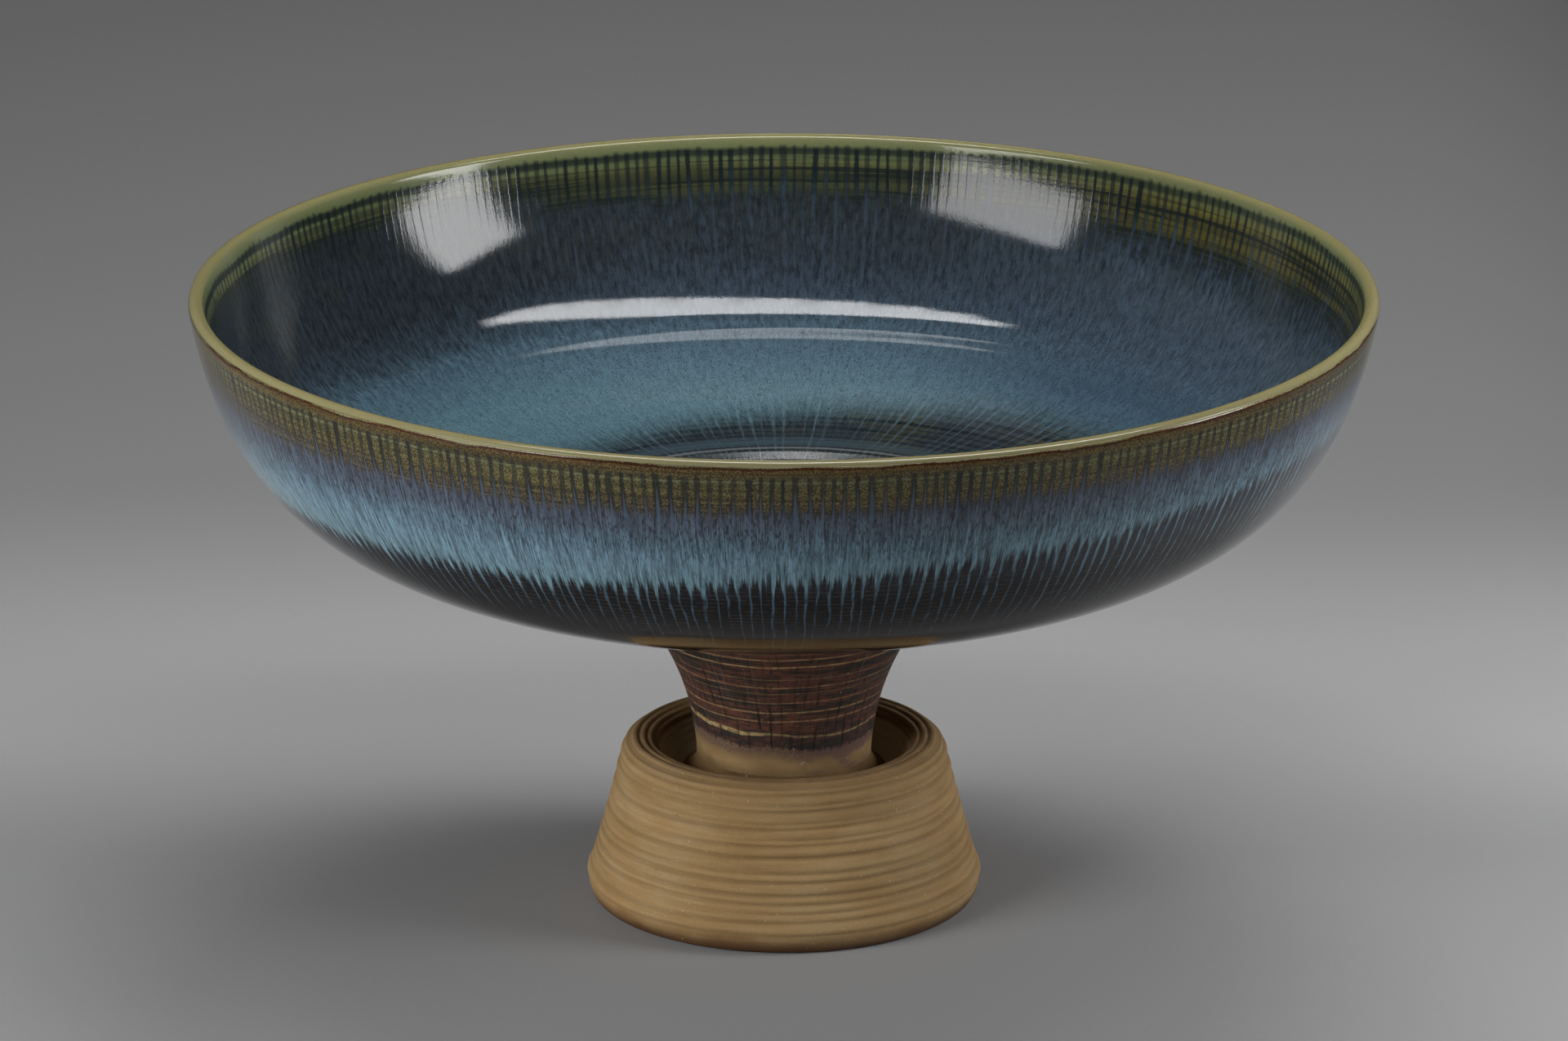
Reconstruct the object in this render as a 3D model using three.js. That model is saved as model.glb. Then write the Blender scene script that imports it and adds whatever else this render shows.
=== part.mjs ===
// Footed bowl in stoneware: a wide glazed bowl on a hollow flared stem that stands in a ribbed collar foot.
// Millimetres, +Z up. Z is the axis of every piece, and the foot rests on Z = 0.
import * as THREE from "three";

// Collar foot: a thrown wall with throwing rings, rolled in at the top, with a floor inside it
const restRadius = 46.8; // outer edge of the resting ring
const restWidth = 5.4; // width of the flat that stands on the table
const heelRadius = 50.4; // widest part of the foot
const heelHeight = 6.5; // height of that widest part
const heelDrawIn = 3.0; // how far the wall has drawn in just above the heel
const heelDrawUp = 7.5; // height over which it draws in
const shoulderRadius = 41.6; // where the wall turns over into the shoulder
const shoulderHeight = 38.5;
const collarHeight = 42.2; // crown of the rolled shoulder
const collarMouth = 33.6; // inner edge of the rolled lip
const footWall = 5.5; // thickness of the collar wall
const wellDepth = 8.7; // crown of the collar down to the floor that carries the stem
const webThickness = 6.0; // thickness of that floor
const ribPitch = 2.45; // distance from one throwing ring to the next
const ribDepth = 0.55; // depth of the groove between two rings
const restRound = 0.9; // rounding of the inner edge of the resting ring
const hollowRound = 3.0; // fillet between the hollow's wall and its roof
const wellRound = 1.6; // fillet between the well's wall and its floor

// Stem: a hollow neck, straight at its foot and flared under the bowl
const stemRadius = 22.2;
const stemWall = 6.0;
const stemLength = 51.5;
const stemTopRadius = 46.0;
const stemLand = 10.0; // width of the flat on top that carries the bowl
const stemNeck = 25.0; // reach of the straight neck into the flare
const stemFlareReach = 13.6;
const stemFlareAngle = 53.6; // degrees off the vertical where the flare meets the bowl

// Slip joints between the pieces
const luteThickness = 1.0;
const luteFillet = 1.6; // how far the slip spreads beyond the stem
const bareMargin = 0.6; // bare clay left between the upper joint and the glaze

// Bowl
const rimRadius = 150.0;
const bowlDepth = 74.3; // from the seat on the stem up to the rim
const undersideSlope = 8.5; // degrees, where the underside leaves the flat
const undersideFullness = 0.51; // share of the run from the flat to the rim
const rimLean = 9.9; // degrees the wall leans out at the rim
const rimFullness = 0.82; // share of the bowl's depth
const wallThickness = 3.8; // glazed wall at the rim, which ends in a round lip
const floorThickness = 11.5; // floor over the stem, with its glaze
const floorTaper = 1.5; // how soon the floor thins towards the wall, as a power of the run that is left
const glazeCoat = 0.4;
const glazeGap = 0.02; // hairline between the clay and the back of its glaze
const glazeMeet = 25; // degrees up the round of the lip, where the two glazes meet

// Facets
const bowlSegments = 52;
const bowlSteps = 9;
const lipSteps = 4;
const footSegments = 44;
const stemSegments = 36;
const stemSteps = 8;
const roundSteps = 3;

// Heights that follow from the stack of pieces
const wellFloor = collarHeight - wellDepth;
const stemBase = wellFloor + luteThickness;
const stemTop = stemBase + stemLength;
const seatHeight = stemTop + luteThickness;

// Radii that follow from the pieces they meet
const stemBore = stemRadius - stemWall;
const stemTopBore = stemTopRadius - stemLand;
const seatRadius = stemTopRadius + luteFillet + bareMargin;

const radians = THREE.MathUtils.degToRad;
const point = (radius, height) => new THREE.Vector2(radius, height);

// The direction that points out of the material when a profile runs with the material on its left
function outward(before, after) {
  const along = after.clone().sub(before).normalize();
  return point(along.y, -along.x);
}

// A line moved sideways by its own distance at each point, outwards where that is positive
function movedOut(line, distanceAt) {
  return line.map((here, i) => {
    const before = line[Math.max(i - 1, 0)];
    const after = line[Math.min(i + 1, line.length - 1)];
    return here.clone().addScaledVector(outward(before, after), distanceAt(here, i));
  });
}

// A quarter round from one point to another, leaving along the first one's radius or height
function quarterRound(from, to, leavesUpright) {
  const corner = leavesUpright ? point(from.x, to.y) : point(to.x, from.y);
  return new THREE.QuadraticBezierCurve(from, corner, to).getPoints(roundSteps);
}

// A piece turned about Z from a closed profile, or from one that starts and ends on the axis
function turned(name, profile, segments, look) {
  const geometry = new THREE.LatheGeometry(profile, segments);
  geometry.rotateX(Math.PI / 2);
  const piece = new THREE.Mesh(geometry, new THREE.MeshStandardMaterial(look));
  piece.name = name;
  return piece;
}

const closed = (profile) => [...profile, profile[0]];

// Collar foot

// The wall above the heel, drawing in to the shoulder
const collarWall = new THREE.QuadraticBezierCurve(
  point(heelRadius, heelHeight),
  point(heelRadius - heelDrawIn, heelHeight + heelDrawUp),
  point(shoulderRadius, shoulderHeight),
);

// The radius of that wall, without its rings, at a given height
function collarRadiusAt(height) {
  const fine = collarWall.getPoints(60);
  const above = Math.max(1, fine.findIndex((p) => p.y >= height));
  const low = fine[above - 1];
  const high = fine[above];
  return THREE.MathUtils.mapLinear(height, low.y, high.y, low.x, high.x);
}

// The rolled shoulder, from the wall over the crown to the mouth
function collarShoulder() {
  const crown = point((shoulderRadius + collarMouth) / 2, collarHeight);
  const outer = new THREE.QuadraticBezierCurve(
    point(shoulderRadius, shoulderHeight),
    point(shoulderRadius - (collarHeight - shoulderHeight) / 3, collarHeight),
    crown,
  );
  const lipDrop = (collarHeight - shoulderHeight) / 3;
  const inner = new THREE.QuadraticBezierCurve(
    crown,
    point(collarMouth + lipDrop, collarHeight),
    point(collarMouth, collarHeight - lipDrop),
  );
  return [outer, inner];
}

// Wall and shoulder as one line with a groove after each throwing ring
function ringedCollar() {
  const line = new THREE.CurvePath();
  line.add(collarWall);
  collarShoulder().forEach((curve) => line.add(curve));
  const rings = Math.round(line.getLength() / ribPitch);
  const points = line.getSpacedPoints(rings * 2);
  const last = points.length - 1;
  return movedOut(points, (p, i) => (i % 2 === 0 && i > 0 && i < last ? -ribDepth : 0));
}

function footProfile() {
  const hollowRadius = restRadius - restWidth;
  const hollowRoof = wellFloor - webThickness;
  const hollowTop = point(collarRadiusAt(hollowRoof - hollowRound) - footWall, hollowRoof - hollowRound);
  const wellRadius = collarRadiusAt(wellFloor + wellRound) - footWall;
  const lipUnder = collarHeight - footWall * 0.6;
  return closed([
    ...quarterRound(point(hollowRadius, restRound), point(hollowRadius + restRound, 0), true),
    ...quarterRound(point(restRadius, 0), point(heelRadius, heelHeight), false).slice(0, -1),
    ...ringedCollar(),
    point(collarMouth + restRound, lipUnder),
    point(wellRadius, lipUnder - restRound * 2),
    ...quarterRound(point(wellRadius, wellFloor + wellRound), point(wellRadius - wellRound, wellFloor), true),
    point(stemBore, wellFloor),
    point(stemBore, hollowRoof),
    ...quarterRound(point(hollowTop.x - hollowRound, hollowRoof), hollowTop, false),
  ]);
}

const foot = turned("foot", footProfile(), footSegments, {
  color: 0x93774c,
  roughness: 0.88,
  metalness: 0,
});

// Stem

// One side of the flared wall, from its foot up to the joint under the bowl
function stemSide(baseRadius, topRadius) {
  const lean = radians(stemFlareAngle);
  return new THREE.CubicBezierCurve(
    point(baseRadius, stemBase),
    point(baseRadius, stemBase + stemNeck),
    point(topRadius - stemFlareReach * Math.sin(lean), stemTop - stemFlareReach * Math.cos(lean)),
    point(topRadius, stemTop),
  ).getPoints(stemSteps);
}

const stemOutside = stemSide(stemRadius, stemTopRadius);
const stemInside = stemSide(stemBore, stemTopBore).reverse();
const stem = turned("stem", closed([...stemOutside, ...stemInside]), stemSegments, {
  color: 0x4a2c24,
  roughness: 0.8,
  metalness: 0,
});

// Slip joints

// A ring of slip between two flats, with a hollow fillet out from the stem to the wider piece
function lute(name, innerRadius, stemEdge, stemSideHeight, farSideHeight) {
  const spread = point(stemEdge + luteFillet, farSideHeight);
  const fillet = quarterRound(spread, point(stemEdge, stemSideHeight), false);
  const ring = [...fillet, point(innerRadius, stemSideHeight), point(innerRadius, farSideHeight)];
  const upwards = stemSideHeight > farSideHeight;
  return turned(name, closed(upwards ? ring : ring.reverse()), stemSegments, {
    color: 0x7d6440,
    roughness: 0.92,
    metalness: 0,
  });
}

const footLute = lute("foot_lute", stemBore, stemRadius, stemBase, wellFloor);
const bowlLute = lute("bowl_lute", stemTopBore, stemTopRadius, stemTop, seatHeight);

// Bowl

// Clay surface of the bowl's outside, from the flat on the stem to the start of the lip
const lipRadius = wallThickness / 2 - glazeCoat;
const lipCentre = point(
  rimRadius - wallThickness / 2,
  seatHeight + bowlDepth - wallThickness / 2,
);
const lean = radians(rimLean);
const lipPoint = (angle) => point(
  lipCentre.x + lipRadius * Math.cos(angle),
  lipCentre.y + lipRadius * Math.sin(angle),
);

function bowlOutside() {
  const start = point(seatRadius, seatHeight);
  const end = lipPoint(-lean);
  const out = (rimRadius - seatRadius) * undersideFullness;
  const down = bowlDepth * rimFullness;
  const slope = radians(undersideSlope);
  return new THREE.CubicBezierCurve(
    start,
    point(start.x + out * Math.cos(slope), start.y + out * Math.sin(slope)),
    point(end.x - down * Math.sin(lean), end.y - down * Math.cos(lean)),
    end,
  ).getPoints(bowlSteps);
}

// The round of the lip between the two sides: its widest point, where the glazes meet, and on over the top
function bowlLip() {
  const angles = [0];
  for (let i = 0; i < lipSteps; i += 1) {
    angles.push(THREE.MathUtils.lerp(radians(glazeMeet), Math.PI - lean, i / lipSteps));
  }
  return angles.map(lipPoint);
}

// The inside follows the outside at the wall's thickness, which grows towards the floor
function bowlInside(outside) {
  const thicknessAt = ({ x }) => {
    const left = Math.max(0, (lipCentre.x - x) / (lipCentre.x - seatRadius));
    return THREE.MathUtils.lerp(wallThickness, floorThickness, left ** floorTaper) - glazeCoat * 2;
  };
  return movedOut(outside, (p) => -thicknessAt(p)).reverse();
}

const outside = bowlOutside();
const inside = bowlInside(outside);
const floorMiddle = point(0, inside[inside.length - 1].y);
const clayLine = [...outside, ...bowlLip(), ...inside, floorMiddle];
const bowl = turned("bowl", [point(0, seatHeight), ...clayLine], bowlSegments, {
  color: 0x8a6f49,
  roughness: 0.9,
  metalness: 0,
});

// Glazes

// Each coat lies on the clay line, and they meet in one ring at the outer edge of the lip
function glazeSurface(rise) {
  const line = movedOut(clayLine, () => rise);
  line[line.length - 1].x = 0;
  return line;
}

const glazeLine = glazeSurface(glazeCoat);
const glazeBack = glazeSurface(glazeGap);
const meet = outside.length + 1;
const outerGlaze = turned(
  "outer_glaze",
  closed([...glazeLine.slice(0, meet + 1), ...glazeBack.slice(0, meet + 1).reverse()]),
  bowlSegments,
  { color: 0x24475c, roughness: 0.22, metalness: 0 },
);
const innerGlaze = turned(
  "inner_glaze",
  [...glazeBack.slice(meet).reverse(), ...glazeLine.slice(meet)],
  bowlSegments,
  { color: 0x2f5f7a, roughness: 0.18, metalness: 0 },
);

const footedBowl = new THREE.Group();
footedBowl.add(foot, footLute, stem, bowlLute, bowl, outerGlaze, innerGlaze);

export default footedBowl;
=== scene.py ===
import math

import bmesh
import bpy
from mathutils import Matrix, Vector, noise


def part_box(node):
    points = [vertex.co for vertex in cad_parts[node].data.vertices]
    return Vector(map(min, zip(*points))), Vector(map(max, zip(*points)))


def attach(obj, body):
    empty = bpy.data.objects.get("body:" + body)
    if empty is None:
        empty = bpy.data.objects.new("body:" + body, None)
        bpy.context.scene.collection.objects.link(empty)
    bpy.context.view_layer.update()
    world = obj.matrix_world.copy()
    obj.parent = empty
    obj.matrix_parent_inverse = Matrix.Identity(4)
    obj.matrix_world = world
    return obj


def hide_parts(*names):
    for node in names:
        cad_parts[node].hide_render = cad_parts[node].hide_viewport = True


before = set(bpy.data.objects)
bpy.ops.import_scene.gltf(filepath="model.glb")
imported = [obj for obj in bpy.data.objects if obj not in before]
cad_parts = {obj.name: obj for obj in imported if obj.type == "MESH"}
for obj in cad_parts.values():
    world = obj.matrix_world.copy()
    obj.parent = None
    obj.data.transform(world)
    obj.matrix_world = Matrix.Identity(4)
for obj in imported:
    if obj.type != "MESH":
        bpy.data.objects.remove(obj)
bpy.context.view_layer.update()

MM = 0.001
TURN = 2 * math.pi


# Profiles

def swept(handles, steps):
    """Points, in millimetres of radius and height, along the curve that these handles pull."""
    points = []
    for i in range(steps + 1):
        row = [Vector(handle) for handle in handles]
        while len(row) > 1:
            row = [a.lerp(b, i / steps) for a, b in zip(row, row[1:])]
        points.append(row[0])
    return points


def leaning(degrees):
    """A direction in the profile, turned this far up from straight out."""
    return Vector((math.cos(math.radians(degrees)), math.sin(math.radians(degrees))))


def evened(points, pitch):
    """The same line with its points a steady pitch apart."""
    lengths = [0.0]
    for a, b in zip(points, points[1:]):
        lengths.append(lengths[-1] + (b - a).length)
    count = max(2, round(lengths[-1] / pitch))
    result = []
    at = 0
    for i in range(count + 1):
        wanted = lengths[-1] * i / count
        while at < len(points) - 2 and lengths[at + 1] < wanted:
            at += 1
        span = lengths[at + 1] - lengths[at]
        result.append(points[at].lerp(points[at + 1], (wanted - lengths[at]) / span))
    return result


def moved_out(points, rise):
    """The line moved sideways, outwards where its material is on the left, by rise(point, index)."""
    moved = []
    for i, here in enumerate(points):
        along = (points[min(i + 1, len(points) - 1)] - points[max(i - 1, 0)]).normalized()
        moved.append(here + Vector((along.y, -along.x)) * rise(here, i))
    return moved


# A turned piece is spun over one sector, which is then doubled until the turn is whole
SECTORS = 16


def spun(name, profile, steps, downs=None, ring=True):
    """A piece turned on the wheel from a profile, which closes on itself or ends on the axis."""
    bm = bmesh.new()
    down = bm.verts.layers.float.new("down")
    line = [bm.verts.new((p.x * MM, 0, p.y * MM)) for p in profile]
    for vert, depth in zip(line, downs or [0.0] * len(line)):
        vert[down] = depth
    pairs = list(zip(line, line[1:])) + ([(line[-1], line[0])] if ring else [])
    edges = [bm.edges.new(pair) for pair in pairs]
    turn = TURN / SECTORS
    bmesh.ops.spin(
        bm, geom=line + edges, cent=(0, 0, 0), axis=(0, 0, 1), angle=turn, steps=steps // SECTORS
    )
    while turn < TURN * 0.99:
        copy = bmesh.ops.duplicate(bm, geom=bm.verts[:] + bm.edges[:] + bm.faces[:])["geom"]
        verts = [part for part in copy if isinstance(part, bmesh.types.BMVert)]
        bmesh.ops.rotate(bm, verts=verts, cent=(0, 0, 0), matrix=Matrix.Rotation(turn, 3, "Z"))
        turn *= 2
    bmesh.ops.remove_doubles(bm, verts=bm.verts, dist=1e-6)
    bmesh.ops.recalc_face_normals(bm, faces=bm.faces)
    for face in bm.faces:
        face.smooth = True
    mesh = bpy.data.meshes.new(name)
    bm.to_mesh(mesh)
    bm.free()
    piece = bpy.data.objects.new(name, mesh)
    bpy.context.scene.collection.objects.link(piece)
    return piece


def unsettle(piece, shift):
    """Moves each point of a turned piece by shift(point in millimetres), which gives (outwards, upwards)."""
    for vert in piece.data.vertices:
        here = vert.co / MM
        radius = math.hypot(here.x, here.y)
        if radius < 0.01:
            continue
        out, up = shift(here)
        vert.co.x *= 1 + out / radius
        vert.co.y *= 1 + out / radius
        vert.co.z += up * MM


# Sizes that follow the frame

rim_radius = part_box("outer_glaze")[1].x / MM
rim_top = 161.3
seat_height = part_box("bowl")[0].z / MM
stem_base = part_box("stem")[0].z / MM
stem_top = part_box("stem")[1].z / MM
stem_top_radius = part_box("stem")[1].x / MM
well_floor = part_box("foot_lute")[0].z / MM

GLAZE = 0.4
HAIRLINE = 0.02
LIP = 1.5
LIP_LEAN = 9.9
lip_centre = Vector((rim_radius - LIP - GLAZE, rim_top - LIP - GLAZE))
seat_radius = stem_top_radius + 2.2


# Bowl

# Slopes in degrees, the reach of each handle of the outside curve, and the clay's thickness in millimetres
UNDERSIDE_SLOPE = 8.5
UNDERSIDE_REACH = 51.9
WALL_REACH = 60.9
WALL_AT_LIP = 3.8
WALL_GROWTH = 7.7
SETTLED_RADIUS = 84

# The direction from the lip's centre in which the two glazes meet
MEET = 25

# Radius, height and width of the low ridges that the fingers left on the wall and on the floor
THROWING_RIDGES = ((122.4, 0.85, 2.0), (62.6, 1.10, 7.0))
RIDGES_BELOW = 130


def bowl_outside():
    start = Vector((seat_radius, seat_height))
    end = lip_centre + leaning(-LIP_LEAN) * LIP
    underside = start + leaning(UNDERSIDE_SLOPE) * UNDERSIDE_REACH
    wall = end - leaning(90 - LIP_LEAN) * WALL_REACH
    return evened(swept([start, underside, wall, end], 240), 1.4)


def wall_at(point):
    """The clay's thickness, which grows from the lip inwards."""
    inward = max(0.0, (lip_centre.x - point.x) / (lip_centre.x - seat_radius))
    return WALL_AT_LIP + WALL_GROWTH * inward ** 1.5 - 2 * GLAZE


def bowl_inside(outside):
    """The inside line from the lip to the middle of the floor, where it settles flat."""
    line = moved_out(outside, lambda p, i: -wall_at(p))[::-1]
    floor = [Vector((line[-1].x * (1 - i / 32), line[-1].y)) for i in range(1, 33)]
    line = evened(line + floor, 1.35)
    heights = [p.y for p in line]
    for _ in range(60):
        for i in range(1, len(line)):
            after = heights[min(i + 1, len(line) - 1)]
            settled = (heights[i - 1] + 2 * heights[i] + after) / 4
            if line[i].x < SETTLED_RADIUS:
                heights[i] = settled
    for p, height in zip(line, heights):
        p.y = height
    return line


def lip(from_angle, to_angle, steps):
    """Points round the lip, between two directions from its centre."""
    return [
        lip_centre + leaning(from_angle + (to_angle - from_angle) * i / steps) * LIP
        for i in range(steps + 1)
    ]


outside = bowl_outside()
inside = bowl_inside(outside)
clay_line = outside[:-1] + lip(-LIP_LEAN, MEET, 6) + lip(MEET, 180 - LIP_LEAN, 18)[1:] + inside[1:]
meet = len(outside) - 1 + 6


def ridged(line):
    """The line with its throwing ridges, and with more points where they rise."""
    result = []
    for a, b in zip(line, line[1:]):
        near = any(abs(a.x - radius) < 2.5 * width for radius, _, width in THROWING_RIDGES)
        parts = 3 if near and a.y < RIDGES_BELOW else 1
        result += [a.lerp(b, i / parts) for i in range(parts)]
    result.append(line[-1])
    for point in result:
        if point.y < RIDGES_BELOW:
            for radius, height, width in THROWING_RIDGES:
                point.y += height * math.exp(-(((point.x - radius) / width) ** 2))
    return result


def coat(rise):
    """The clay's line from the seat over the lip to the axis, this far out from the clay."""
    line = moved_out(clay_line, lambda p, i: rise)
    line[-1].x = 0
    return line


def depths(line):
    """How far along the line each of its points comes."""
    result = [0.0]
    for a, b in zip(line, line[1:]):
        result.append(result[-1] + (b - a).length)
    return result


front = coat(GLAZE)
back = coat(HAIRLINE)

outer_line = front[: meet + 1][::-1]
outer_back = back[: meet + 1]
outer_glaze = spun(
    "outer_glaze_coat",
    outer_line + outer_back[::3] + [outer_back[-1]],
    steps=480,
    downs=depths(outer_line) + [0.0] * (len(outer_back[::3]) + 1),
)

inner_line = ridged(front[meet:])
inner_back = back[meet:]
thin_back = inner_back[:20] + inner_back[20::3]
if thin_back[-1].x > 0:
    thin_back.append(inner_back[-1])
inner_glaze = spun(
    "inner_glaze_coat",
    inner_line + thin_back[::-1],
    steps=336,
    downs=depths(inner_line) + [0.0] * len(thin_back),
)

bowl_clay = spun(
    "bowl_body",
    [Vector((0, seat_height))] + clay_line[::2] + [Vector((0, clay_line[-1].y))],
    steps=240,
    ring=False,
)


# Stem

STEM_FOOT_RADIUS = 22.2
STEM_FOOT_BORE = 16.2
STEM_TOP_BORE = stem_top_radius - 10
STRAIGHT_REACH = 25
FLARE_REACH = 13.6
FLARE_SLOPE = 36.4


def stem_side(base, top):
    """A line that leaves the foot upright and flares out under the bowl."""
    flare = Vector((top, stem_top)) - leaning(FLARE_SLOPE) * FLARE_REACH
    handles = [(base, stem_base), (base, stem_base + STRAIGHT_REACH), flare, (top, stem_top)]
    return evened(swept(handles, 120), 0.5)


stem_outside = stem_side(STEM_FOOT_RADIUS, stem_top_radius)
stem_bore = stem_side(STEM_FOOT_BORE, STEM_TOP_BORE)
stem = spun("stem_neck", stem_outside + stem_bore[::-4], steps=256)


# Slip joints

def fillet(edge, near, far, reach, rise, bore):
    """A ring of slip in the corner between a side at this edge and the flat face at the height far."""
    handles = [(edge + reach, far), (edge + reach * 0.3, far), (edge, far + rise * 0.5), (edge, far + rise)]
    ring = swept(handles, 10)
    down_the_side = [] if abs(far + rise - near) < 0.1 else [Vector((edge, near))]
    return ring + down_the_side + [Vector((bore, near)), Vector((bore, far))]


JOINT_STEPS = 160
foot_fillet = fillet(STEM_FOOT_RADIUS + 0.05, stem_base, well_floor, reach=4.6, rise=5.6, bore=STEM_FOOT_BORE)
foot_joint = spun("foot_joint_slip", foot_fillet, JOINT_STEPS)
bowl_fillet = fillet(stem_top_radius, stem_top, seat_height, reach=1.6, rise=-1.0, bore=STEM_TOP_BORE)
bowl_joint = spun("bowl_joint_slip", bowl_fillet, JOINT_STEPS)


# Foot

# Height and depth of the grooves on the wall, and place past the crown and depth of those round the mouth
GROOVES = (
    (5.0, 0.20), (8.5, 0.40), (10.5, 0.24), (12.6, 0.42), (14.8, 0.44), (17.9, 0.46), (20.1, 0.30),
    (23.9, 0.48), (27.0, 0.34), (28.3, 0.20), (31.1, 0.42), (32.5, 0.24), (35.5, 0.40), (36.9, 0.26),
    (39.4, 0.42), (41.2, 0.30),
)
CROWN_GROOVES = (
    (-2.2, 0.26), (0.2, 0.24), (2.3, 0.24), (4.3, 0.20), (6.1, 0.18), (8.4, 0.22), (10.3, 0.20), (12.4, 0.22),
)
WALL_GROOVE_WIDTH = 0.60
CROWN_GROOVE_WIDTH = 0.48
HEEL = 50.4
MOUTH = 32.3
BED = 33.5
CEILING = 27.5


def foot_outside():
    """The line from the heel up the wall, over the shoulder and down into the well."""
    heel = swept([(46.8, 0), (HEEL, 0), (HEEL, 6.5)], 30)
    wall = swept([(HEEL, 6.5), (47.4, 14), (41.6, 38.5)], 80)
    shoulder = swept([(41.6, 38.5), (40.5, 42.2), (37.4, 42.2)], 30)
    mouth = swept([(37.4, 42.2), (33.6, 42.2), (MOUTH, 40.9), (MOUTH, 39.6)], 30)
    well = swept([(MOUTH, 39.6), (31.9, 37.2), (29.6, 34.4), (27.3, 33.7)], 30)
    return evened(heel + wall[1:] + shoulder[1:] + mouth[1:] + well[1:], 0.25)


def foot_inside():
    """The line from the bed of the stem through its bore and round the hollow to the heel."""
    bed = [Vector((25.4, BED)), Vector((STEM_FOOT_BORE, BED)), Vector((STEM_FOOT_BORE, CEILING))]
    corner = swept([(36.0, CEILING), (39.0, CEILING), (39.6, 24.5)], 5)
    flank = [Vector((43.6, 8.0)), Vector((41.4, 0.9))]
    rest = swept([(41.4, 0.9), (41.4, 0), (42.3, 0)], 3)[1:]
    return bed + corner + flank + rest


foot_line = foot_outside()
foot_run = depths(foot_line)
crown = max(range(len(foot_line)), key=lambda i: foot_line[i].y)


def run_at(height):
    """How far along the foot's line, below its crown, a height comes."""
    return next(foot_run[i] for i in range(crown) if foot_line[i].y >= height)


grooves = [(run_at(height), depth, WALL_GROOVE_WIDTH) for height, depth in GROOVES]
grooves += [(foot_run[crown] + past, depth, CROWN_GROOVE_WIDTH) for past, depth in CROWN_GROOVES]


def ringed(point, i):
    """Rounded ribs between soft grooves, as fingers leave them in the turning clay."""
    run = foot_run[i]
    rise = -sum(depth * math.exp(-(((run - at) / width) ** 2)) for at, depth, width in grooves)
    for (a, _, _), (b, _, _) in zip(grooves, grooves[1:]):
        if a <= run <= b:
            rise += 0.07 * min(b - a, 3.0) * math.sin(math.pi * (run - a) / (b - a))
    return rise


# On the foot, "down" holds how deep the grooves are, and painted shade darkens the clay's colour in them
ringed_line = moved_out(foot_line, ringed)
groove_depths = [-ringed(point, i) for i, point in enumerate(foot_line)]
hollow = foot_inside()
foot = spun("foot_collar", ringed_line + hollow, steps=336, downs=groove_depths + [0.0] * len(hollow))


def hand_wander(here):
    """Rings that drift and fade a little on their way round."""
    turn = Vector((here.x, here.y, 0)).normalized()
    at_joint = math.hypot(here.x, here.y) < 26.5
    if here.z < 1.0 or at_joint:
        return 0.0, 0.0
    below_crown = min(1.0, max(0.0, (41.9 - here.z) / 6))
    out = 0.12 * noise.noise(turn * 2.2 + Vector((0, 0, here.z * 0.35))) - 0.06
    up = 0.34 * noise.noise(turn * 1.1 + Vector((3, 0, here.z * 0.06))) * below_crown
    return out, up


unsettle(foot, hand_wander)


# Materials

PATTERN_RADIUS = 150

# Lines round the bowl, outside and inside, and spokes on its floor
OUTSIDE_LINES = 310
INSIDE_LINES = 322
FLOOR_SPOKES = 178

# Height, strength and half width of the thin tan lines on the stem
STEM_LINES = (
    (81.5, 0.50, 0.20), (77.6, 0.85, 0.24), (75.2, 0.35, 0.16), (73.4, 0.80, 0.22), (70.9, 0.95, 0.25),
    (66.9, 0.35, 0.18), (64.3, 0.55, 0.20), (62.4, 0.30, 0.16), (59.6, 0.45, 0.20), (56.6, 0.75, 0.22),
    (54.0, 0.60, 0.20),
)


class Signal:
    """A number or colour that varies over a surface, so that a pattern can be written as a sum."""

    def __init__(self, look, socket):
        self.look = look
        self.socket = socket

    def __add__(self, other):
        return self.look.sum("ADD", self, other)

    def __sub__(self, other):
        return self.look.sum("SUBTRACT", self, other)

    def __rsub__(self, other):
        return self.look.sum("SUBTRACT", other, self)

    def __mul__(self, other):
        return self.look.sum("MULTIPLY", self, other)

    __radd__ = __add__

    def over(self, low, high):
        """0 below low and 1 above high, with a soft step between, or the other way round."""
        start, end = (1.0, 0.0) if low > high else (0.0, 1.0)
        inputs = {0: self, 1: min(low, high), 2: max(low, high), 3: start, 4: end}
        return self.look.add("MapRange", inputs, interpolation_type="SMOOTHSTEP")


def paint(colour):
    """A colour as it shows on a screen, such as "8a6f49", in the renderer's own numbers."""
    parts = [int(colour[i : i + 2], 16) / 255 for i in (0, 2, 4)]
    return [c / 12.92 if c <= 0.04045 else ((c + 0.055) / 1.055) ** 2.4 for c in parts] + [1.0]


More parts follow.
